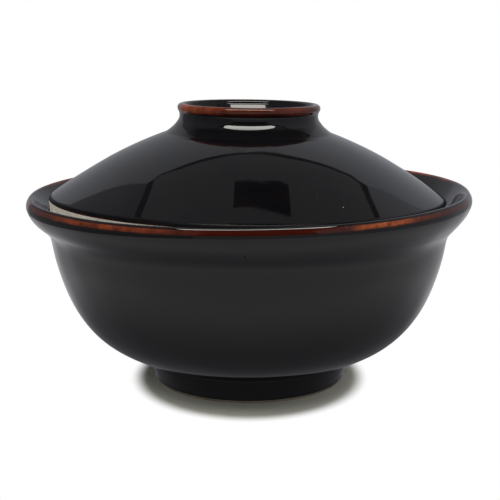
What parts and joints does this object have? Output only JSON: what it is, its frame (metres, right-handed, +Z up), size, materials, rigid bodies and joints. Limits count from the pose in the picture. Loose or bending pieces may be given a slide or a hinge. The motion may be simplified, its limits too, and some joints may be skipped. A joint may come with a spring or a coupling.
{
  "type": "lidded rice bowl",
  "caption": "Deep footed bowl with a flared mouth and a domed lid that lifts off by a ring-shaped grip; dark glossy glaze over stoneware with brown edges.",
  "frame": {"origin": "centre of the foot ring, on the surface the bowl stands on", "axes": "+Z up along the bowl's axis, -Y towards the viewer; the lid stands a little high towards -X -Y"},
  "size_m": [0.1574, 0.1574, 0.0999],
  "materials": {
    "bare_clay": "unglazed, slightly rough",
    "black_glaze": "gloss",
    "brown_glaze": "gloss"
  },
  "bodies": {
    "bowl": {"bowl_body": "bare_clay", "bowl_outer_glaze": "black_glaze", "bowl_rim_band": "brown_glaze", "bowl_inner_glaze": "black_glaze", "bowl_foot_glaze": "black_glaze"},
    "lid": {"lid_body": "bare_clay", "lid_outer_glaze": "black_glaze", "lid_grip_band": "brown_glaze", "lid_grip_glaze": "black_glaze", "lid_inner_glaze": "black_glaze"}
  },
  "joints": [
    {"name": "lid_lift", "type": "slide", "parent": "bowl", "child": "lid", "axis": [0, 0, 1], "range_m": [0, 0.03]}
  ]
}
